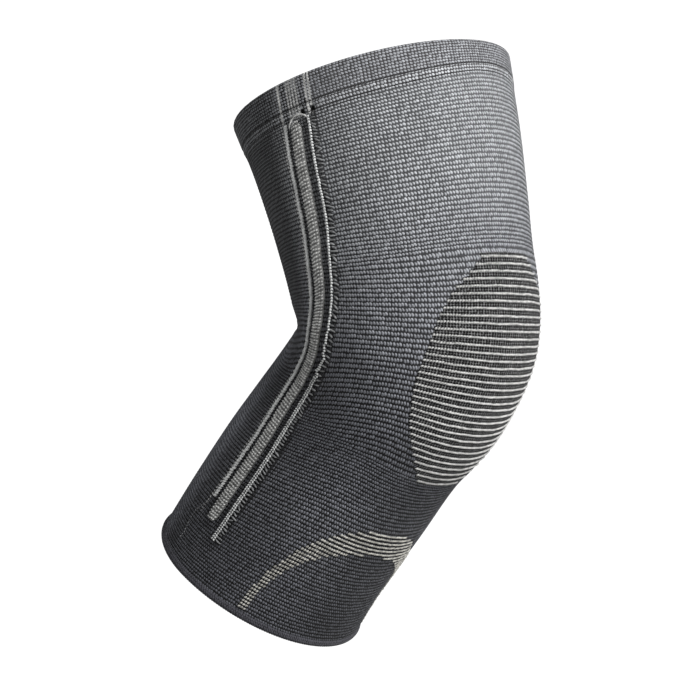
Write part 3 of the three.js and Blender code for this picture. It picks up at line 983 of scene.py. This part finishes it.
class KNEESLEEVE_OT_cuff(bpy.types.Operator):
    """Build the turned-over cuff with its two rows of stitches"""

    bl_idname = "knee_sleeve.cuff"
    bl_label = "Cuff"

    def execute(self, context):
        rim = CUFF_THICKNESS / 2
        edge = FULL_REACH - rim
        quarter = np.radians(np.linspace(0, 90, 6))[1:]
        flat = np.linspace(CUFF_BOTTOM + SEAM_WIDTH / 2, edge, 36)
        down = np.linspace(edge, CUFF_BOTTOM, 8)[1:]
        reaches = np.concatenate([
            [CUFF_BOTTOM],
            flat,
            edge + rim * np.sin(quarter),
            edge + rim * np.cos(quarter),
            down,
            [CUFF_BOTTOM],
        ])
        lifts = np.concatenate([
            [0],
            CUFF_PROUD * soft_step(flat, CUFF_BOTTOM, CUFF_BOTTOM + CUFF_SEAM_UP),
            CUFF_PROUD - rim + rim * np.cos(quarter),
            CUFF_PROUD - rim - rim * np.sin(quarter),
            np.full(len(down), CUFF_PROUD - CUFF_THICKNESS),
            [0],
        ])
        seam = CUFF_BOTTOM + CUFF_SEAM_UP
        hole_width, hole_height = 0.0016, 0.0018

        def relief(turn, reach, lift):
            groove = -0.5 * SEAM_DEPTH * np.exp(-(((reach - seam) / (SEAM_WIDTH / 3)) ** 2))
            across = beside_channel(turn, reach)
            for middle, depth in CUFF_HOLES:
                aside, below = (across - middle) / hole_width, (reach - seam + CUFF_HOLE_DROP) / hole_height
                groove = groove - depth * np.exp(-(aside**2 + below**2))
            return np.where(lift > 0, groove, 0)

        cuff = ring_piece("knit_cuff", reaches, lifts, relief, {"knit": knit_map, "channel": channel_map})
        hand_over(cuff, cuff_material(sleeve_colours(context.scene)), "top_cuff")
        return {"FINISHED"}


class KNEESLEEVE_OT_hem(bpy.types.Operator):
    """Build the overlocked hem, with its loops of thread"""

    bl_idname = "knee_sleeve.hem"
    bl_label = "Hem"

    def execute(self, context):
        girth = float(np.sum(metres_per_degree(np.arange(360.0), HEM_HEIGHT / 2)))
        loops = round(girth / context.scene.knee_sleeve_sizes.loop_pitch)
        steps, sides, loop_depth, wind = 4, 14, 0.09, 0.35
        bm = bmesh.new()
        grid(bm, loops * steps, sides)

        def place(column, row, _):
            turn = column / (loops * steps) * 360 - 180
            angle = 2 * np.pi * row / sides
            phase = np.cos(2 * np.pi * (column / steps + wind * np.sin(angle)))
            swell = 1 - loop_depth * (0.5 - 0.5 * phase)
            reach = HEM_HEIGHT / 2 * (1 + swell * np.sin(angle))
            lift = HEM_PROUD - HEM_THICKNESS / 2 + HEM_THICKNESS / 2 * swell * np.cos(angle)
            return turn, reach, lift

        def loop_map(turn, reach):
            return (turn + 180) / 360 * loops, reach / HEM_HEIGHT * 3

        hem = make_piece("overlocked_hem", bm, place, {"loops": loop_map})
        hand_over(hem, hem_material(sleeve_colours(context.scene)), "bottom_hem")
        return {"FINISHED"}


class KNEESLEEVE_OT_kneecap_panel(bpy.types.Operator):
    """Build the kneecap panel: its dark ground and the raised rib on every course"""

    bl_idname = "knee_sleeve.kneecap_panel"
    bl_label = "Kneecap Panel"

    def execute(self, context):
        sizes = context.scene.knee_sleeve_sizes
        colours = sleeve_colours(context.scene)
        columns, rows_per_rib = 48, 4
        top, underside = 0.00005, -0.0007
        rows = PANEL_RIBS * rows_per_rib
        bm = bmesh.new()
        grid(bm, columns, rows)
        made = bmesh.ops.extrude_face_region(bm, geom=bm.faces[:])["geom"]
        bmesh.ops.translate(bm, verts=[x for x in made if isinstance(x, bmesh.types.BMVert)], vec=(0, 0, 1))

        def stepped_half(along):
            rib = np.clip(np.floor((along + 1) / 2 * PANEL_RIBS), 0, PANEL_RIBS - 1)
            return PANEL_WIDTH / 2 * panel_half_at((rib + 0.5) / PANEL_RIBS)

        def place_ground(column, row, level):
            along = np.round(row) / rows * 2 - 1
            across = (column / columns * 2 - 1) * stepped_half(along)
            turn, reach = panel_place(along, across)
            return turn, reach, np.where(level > 0.5, top, underside)

        def rib_map(turn, reach):
            along = (front_way(reach) - PANEL_MIDDLE_WAY) / (PANEL_LENGTH / 2)
            return turn * WALES / 360, (along + 1) / 2 * PANEL_RIBS

        ground = make_piece("kneecap_panel_ground", bm, place_ground, {"ribs": rib_map})
        hand_over(ground, panel_ground_material(colours), "kneecap_panel")

        rng = np.random.default_rng(7)
        beads = []
        for rib in range(PANEL_RIBS):
            along = (rib + 0.5) / PANEL_RIBS * 2 - 1
            half = float(stepped_half(np.float64(along)))
            count = round(2 * half / sizes.rib_pitch)
            pitch = 2 * half / count
            waver = np.interp(np.linspace(0, 13, count), np.arange(14), rng.normal(0, 0.00013, 14))
            for bead in range(count):
                across = -half + (bead + 0.5) * pitch
                at = (across, along * PANEL_LENGTH / 2 + waver[bead] + rng.normal(0, 0.00004), 0.0001)
                width = sizes.rib_width * rng.uniform(0.82, 1.12)
                edge = float(soft_step(abs(across), half - 0.026, half - 0.005))
                slant = 0.22 + 0.35 * edge + rng.normal(0, 0.06 + 0.1 * edge)
                beads.append((at, (pitch * (1.45 - 0.3 * edge), width * 0.92, width), slant))

        def place_rib(across, along, lift):
            turn, reach = panel_place(along / (PANEL_LENGTH / 2), across)
            return turn, reach, lift

        ribs = bead_piece("kneecap_panel_ribs", beads, place_rib)
        hand_over(ribs, yarn_material("raised rib yarn", colours["rib"], depth=0.5, shade=0.3))
        return {"FINISHED"}


class KNEESLEEVE_OT_shin_arch(bpy.types.Operator):
    """Build the light arch of the shin, stitch by stitch on the body's courses"""

    bl_idname = "knee_sleeve.shin_arch"
    bl_label = "Shin Arch"

    def execute(self, context):
        lift = context.scene.knee_sleeve_sizes.stitch_lift
        hem_room = 0.0008
        rng = np.random.default_rng(11)
        beads = []
        lowest, highest = course_at(0, BODY_BOTTOM), course_at(90, ARCH_HEIGHT)
        wales = np.arange(-WALES // 4, WALES // 4) + 0.5
        turns = wales * 360 / WALES
        for course in np.arange(math.ceil(lowest), math.floor(highest) + 1) + 0.5:
            for wale, turn, reach in zip(wales, turns, reach_of(turns, course)):
                if reach < BODY_BOTTOM + hem_room or not inside_arch(turn, reach):
                    continue
                crown = float(soft_step(reach, CROWN_START, CROWN_FULL))
                size = (0.94 + 0.22 * crown, 0.60 - 0.12 * crown, 0.0009)
                at = (wale, course + rng.normal(0, 0.03), lift + rng.normal(0, 0.00005))
                beads.append((at, size, 0.34 - 0.22 * crown))

        def place(wale, course, lift):
            turn = wale * 360 / WALES
            return turn, reach_of(turn, course), lift

        arch = bead_piece("arch_stitches", beads, place)
        hand_over(arch, yarn_material("arch yarn", sleeve_colours(context.scene)["arch"]), "shin_arch")
        return {"FINISHED"}


def beside_place(side):
    """Places a flat pattern whose x is metres in front of the channel's middle and y is the reach."""

    def place(across, reach, lift):
        middle = channel_turn_at(reach)
        return side * (middle - across / metres_per_degree(side * middle, reach)), reach, lift

    return place


def ladder_beads(rng, reaches, widths, pitch):
    """Rungs of the ribbon, four stitches each, which rise over its middle."""
    beads = []
    columns = 4
    for rung in range(round((CHANNEL_TOP - CHANNEL_END - 0.002) / pitch)):
        reach = CHANNEL_END + 0.001 + (rung + 0.5) * pitch
        share = float(np.interp(reach, reaches, widths)) / CHANNEL_WIDTH
        for column in range(columns):
            spot = (column + 0.5) / columns * 2 - 1
            across = spot * CHANNEL_WIDTH / 2 * 0.92 * share
            dome = CHANNEL_HEIGHT * (0.32 + 0.65 * math.sqrt(max(0, 1 - spot * spot)))
            at = (across, reach + rng.normal(0, 0.00014) + 0.0003 * spot, dome)
            beads.append((at, (RUNG_STITCH[0] * share, *RUNG_STITCH[1:]), 0.25 + rng.normal(0, 0.15)))
    return beads


class KNEESLEEVE_OT_stay_channels(bpy.types.Operator):
    """Build the ribbed ribbon over each side stay, and the loop over its top"""

    bl_idname = "knee_sleeve.stay_channels"
    bl_label = "Stay Channels"

    def execute(self, context):
        sizes = context.scene.knee_sleeve_sizes
        colour = sleeve_colours(context.scene)["ribbon"]
        ground = yarn_material("ribbon ground", tinted(colour, 0.35), shade=0.5)
        rungs = yarn_material("ribbon ladder stitches", colour, shade=0.35)
        for name, side in SIDES:
            rng = np.random.default_rng(23 + side)
            bm = bmesh.new()
            reaches = np.linspace(CHANNEL_END, CHANNEL_TOP, 150)
            path = [(0, reach, CHANNEL_HEIGHT * 0.32) for reach in reaches]
            rounded = np.clip(np.minimum(reaches - CHANNEL_END, CHANNEL_TOP - reaches) / 0.004, 0, 1)
            widths = CHANNEL_WIDTH * (0.45 + 0.55 * np.sqrt(rounded))
            lay_tube(bm, path, widths, CHANNEL_HEIGHT * 1.3, 10)
            ribbon = make_piece(f"{name}_channel_ribbon", bm, beside_place(side))
            hand_over(ribbon, ground, f"{name}_stay_channel")

            bm = bmesh.new()
            lay_beads(bm, ladder_beads(rng, reaches, widths, sizes.ladder_pitch))
            steps = np.linspace(0, 1, 40)
            loop = np.stack([
                -0.0034 + (FRONT_PIPING_OFFSET + 0.0030) * steps,
                CHANNEL_TOP - 0.0034 + 0.0044 * np.sin(np.pi * steps**0.8) ** 0.6 + 0.0022 * steps,
                np.full(40, CHANNEL_HEIGHT * 0.95) - 0.0008 * steps,
            ], 1)
            lay_tube(bm, loop, 0.0009, 0.0009, 6)
            ladder = make_piece(f"{name}_channel_ladder", bm, beside_place(side))
            hand_over(ladder, rungs)
        return {"FINISHED"}


def chain_beads(rng, pitch):
    """Two plies of the front piping, close together on the thigh, apart on the shin and loose at the bend."""
    beads = []
    for link in range(round((CHANNEL_TOP - FRONT_PIPING_END) / pitch)):
        reach = FRONT_PIPING_END + (link + 0.5) * pitch
        spread = 0.00016 + 0.00044 * float(soft_step(reach, 0.150, 0.125))
        loose = float(np.exp(-(((reach - 0.142) / 0.016) ** 2)))
        wander = rng.normal(0, 0.00006 + 0.0005 * loose)
        full = rng.uniform(0.7, 1.25)
        for ply in (-1, 1):
            at = (FRONT_PIPING_OFFSET + ply * spread + wander, reach, PIPING_HEIGHT * 0.62)
            size = (CHAIN_STITCH[0] * full, pitch * (0.95 - 0.15 * loose), CHAIN_STITCH[1])
            beads.append((at, size, ply * 0.4 + rng.normal(0, 0.18)))
    return beads


def pulled_beads(rng):
    """Stitches drawn along their course to the front piping, and a faint dotted line near the hem."""
    beads = []
    turn = float(channel_turn_at(0.15)) - 7.0
    lowest, highest = course_at(turn, FRONT_PIPING_END), course_at(turn, BODY_TOP)
    for reach in reach_of(turn, np.arange(math.ceil(lowest), math.floor(highest)) + 0.5):
        rise = float(reach_of(turn - 1, course_at(turn, reach)) - reach) / float(metres_per_degree(turn, reach))
        across = FRONT_PIPING_OFFSET + 0.0021 + rng.normal(0, 0.0003)
        slant = math.atan(rise) - 0.35 + rng.normal(0, 0.25)
        size = (PULLED_STITCH[0] + rng.normal(0, 0.0006), *PULLED_STITCH[1:])
        beads.append(((across, reach, 0.0002), size, slant))
    for spot in np.linspace(0, 1, 17):
        across = -0.0088 - 0.0035 * math.sin(math.pi * min(1, spot * 1.15)) - 0.002 * spot
        beads.append(((across, 0.037 - 0.024 * spot, 0.0001), DOT_STITCH, rng.normal(0, 0.3)))
    return beads


def cord_beads(rng, pitch):
    """Slanted plies of the back piping."""
    beads = []
    for ply in range(round((CHANNEL_TOP - BACK_PIPING_END) / pitch)):
        reach = BACK_PIPING_END + (ply + 0.5) * pitch
        at = (-BACK_PIPING_OFFSET + rng.normal(0, 0.00012), reach, PIPING_HEIGHT * 0.45)
        beads.append((at, (BACK_PIPING_WIDTH, pitch * 1.05, PIPING_HEIGHT * 1.3), 0.6 + rng.normal(0, 0.08)))
    return beads


class KNEESLEEVE_OT_pipings(bpy.types.Operator):
    """Build the bright chain in front of each channel and the soft cord behind it"""

    bl_idname = "knee_sleeve.pipings"
    bl_label = "Pipings"

    def execute(self, context):
        sizes = context.scene.knee_sleeve_sizes
        colours = sleeve_colours(context.scene)
        chain_yarn = yarn_material("bright chain yarn", colours["piping"], shade=0.25)
        cord_yarn = yarn_material("soft cord yarn", colours["cord"], shade=0.2)
        pulled_yarn = yarn_material("pulled stitches yarn", colours["pulled"], shade=0.5)
        for name, side in SIDES:
            rng = np.random.default_rng(41 + side)
            place = beside_place(side)
            chain = bead_piece(f"{name}_front_piping_chain", chain_beads(rng, sizes.chain_pitch), place)
            hand_over(chain, chain_yarn, f"{name}_front_piping")
            pulled = bead_piece(f"{name}_pulled_stitches", pulled_beads(rng), place)
            hand_over(pulled, pulled_yarn)
            cord = bead_piece(f"{name}_back_piping_cord", cord_beads(rng, sizes.ply_pitch / 3), place)
            hand_over(cord, cord_yarn, f"{name}_back_piping")
        return {"FINISHED"}


class KNEESLEEVE_OT_cloth_facts(bpy.types.Operator):
    """An empty step, which does nothing"""

    bl_idname = "knee_sleeve.cloth_facts"
    bl_label = "Cloth Facts"

    def execute(self, context):
        return {"FINISHED"}


# Soft lights: name, place, size in metres and power in watts
LIGHTS = (
    ("key", (-0.17, -1.42, 0.84), 0.9, 33.0),
    ("fill", (-1.30, 0.90, 0.20), 1.2, 4.4),
    ("back fill", (1.20, 1.10, 0.50), 1.2, 5.0),
)

# The camera: direction it looks in, in degrees, distance, shift of its aim to the left and up, and lens
CAMERA_AZIMUTH = 52.5
CAMERA_ELEVATION = -1.0
CAMERA_DISTANCE = 1.6
AIM_LEFT = 0.02312
AIM_UP = 0.00096
CAMERA_LENS = 169.76


def lay_sweep(scene, colour):
    """A wide pale floor with a rim that curves up, white where the camera sees it."""
    level, radius, bend, height = -0.42, 3.0, 0.8, 1.8
    arc = np.radians(np.linspace(0, 90, 9))
    profile = [(0.0, level)] + [(radius + bend * math.sin(a), level + bend * (1 - math.cos(a))) for a in arc]
    profile.append((radius + bend, level + height))
    bm = bmesh.new()
    line = [bm.verts.new((x, 0, z)) for x, z in profile]
    edges = [bm.edges.new(pair) for pair in zip(line, line[1:])]
    bmesh.ops.spin(
        bm, geom=line + edges, cent=(0, 0, 0), axis=(0, 0, 1), angle=2 * math.pi, steps=72, use_merge=True
    )
    bmesh.ops.remove_doubles(bm, verts=bm.verts, dist=1e-4)
    bmesh.ops.recalc_face_normals(bm, faces=bm.faces)
    bmesh.ops.reverse_faces(bm, faces=bm.faces)
    mesh = bpy.data.meshes.new("pale_sweep")
    bm.to_mesh(mesh)
    bm.free()
    mesh.shade_smooth()
    sweep = bpy.data.objects.new("pale_sweep", mesh)
    scene.collection.objects.link(sweep)
    material = bpy.data.materials.new("pale sweep")
    material.use_nodes = True
    tree = material.node_tree
    shader = tree.nodes["Principled BSDF"]
    shader.inputs["Base Color"].default_value = (*colour, 1)
    shader.inputs["Roughness"].default_value = 0.9
    shader.inputs["Emission Color"].default_value = (1, 1, 1, 1)
    feed(tree, add(tree, "ShaderNodeLightPath").outputs["Is Camera Ray"], shader.inputs["Emission Strength"])
    mesh.materials.append(material)
    sweep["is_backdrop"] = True


def set_camera(scene):
    azimuth, elevation = math.radians(CAMERA_AZIMUTH), math.radians(CAMERA_ELEVATION)
    ahead = Vector((
        math.sin(azimuth) * math.cos(elevation),
        math.cos(azimuth) * math.cos(elevation),
        -math.sin(elevation),
    ))
    right = Vector((math.cos(azimuth), -math.sin(azimuth), 0))
    aim = (ahead - right * AIM_LEFT + right.cross(ahead) * AIM_UP).normalized()
    data = bpy.data.cameras.new("camera")
    data.sensor_width = 36
    data.lens = CAMERA_LENS
    data.clip_end = 50
    camera = bpy.data.objects.new("camera", data)
    camera.location = -ahead * CAMERA_DISTANCE
    camera.rotation_euler = aim.to_track_quat("-Z", "Y").to_euler()
    scene.collection.objects.link(camera)
    scene.camera = camera


class KNEESLEEVE_OT_stage(bpy.types.Operator):
    """Build the pale sweep, the soft lights and the camera"""

    bl_idname = "knee_sleeve.stage"
    bl_label = "Stage"

    def execute(self, context):
        scene = context.scene
        lay_sweep(scene, sleeve_colours(scene)["floor"])
        world = bpy.data.worlds.new("soft studio")
        world.use_nodes = True
        background = world.node_tree.nodes["Background"]
        background.inputs["Color"].default_value = (0.96, 0.98, 1, 1)
        background.inputs["Strength"].default_value = 0.12
        scene.world = world
        for name, at, size, power in LIGHTS:
            data = bpy.data.lights.new(name, "AREA")
            data.size = size
            data.energy = power
            lamp = bpy.data.objects.new(name, data)
            lamp.location = at
            lamp.rotation_euler = (-Vector(at)).to_track_quat("-Z", "Y").to_euler()
            scene.collection.objects.link(lamp)
        set_camera(scene)
        scene.view_settings.view_transform = "Standard"
        return {"FINISHED"}


class KNEESLEEVE_PT_panel(bpy.types.Panel):
    bl_idname = "KNEESLEEVE_PT_panel"
    bl_label = "Knee Sleeve"
    bl_space_type = "VIEW_3D"
    bl_region_type = "UI"
    bl_category = "Knee Sleeve"

    def draw(self, context):
        for group in (context.scene.knee_sleeve_sizes, context.scene.knee_sleeve_colours):
            box = self.layout.box()
            for name in group.__annotations__:
                box.prop(group, name)
        for operator in OPERATORS:
            self.layout.operator(operator.bl_idname)


OPERATORS = (
    KNEESLEEVE_OT_body,
    KNEESLEEVE_OT_cuff,
    KNEESLEEVE_OT_hem,
    KNEESLEEVE_OT_kneecap_panel,
    KNEESLEEVE_OT_shin_arch,
    KNEESLEEVE_OT_stay_channels,
    KNEESLEEVE_OT_pipings,
    KNEESLEEVE_OT_cloth_facts,
    KNEESLEEVE_OT_stage,
)
CLASSES = (KneeSleeveSizes, KneeSleeveColours, *OPERATORS, KNEESLEEVE_PT_panel)


def register():
    for kind in CLASSES:
        bpy.utils.register_class(kind)
    bpy.types.Scene.knee_sleeve_sizes = bpy.props.PointerProperty(type=KneeSleeveSizes)
    bpy.types.Scene.knee_sleeve_colours = bpy.props.PointerProperty(type=KneeSleeveColours)


def unregister():
    del bpy.types.Scene.knee_sleeve_colours
    del bpy.types.Scene.knee_sleeve_sizes
    for kind in reversed(CLASSES):
        bpy.utils.unregister_class(kind)


def main():
    register()
    bpy.ops.knee_sleeve.body()
    bpy.ops.knee_sleeve.cuff()
    bpy.ops.knee_sleeve.hem()
    bpy.ops.knee_sleeve.kneecap_panel()
    bpy.ops.knee_sleeve.shin_arch()
    bpy.ops.knee_sleeve.stay_channels()
    bpy.ops.knee_sleeve.pipings()
    bpy.ops.knee_sleeve.cloth_facts()
    bpy.ops.knee_sleeve.stage()


if __name__ == "__main__":
    main()
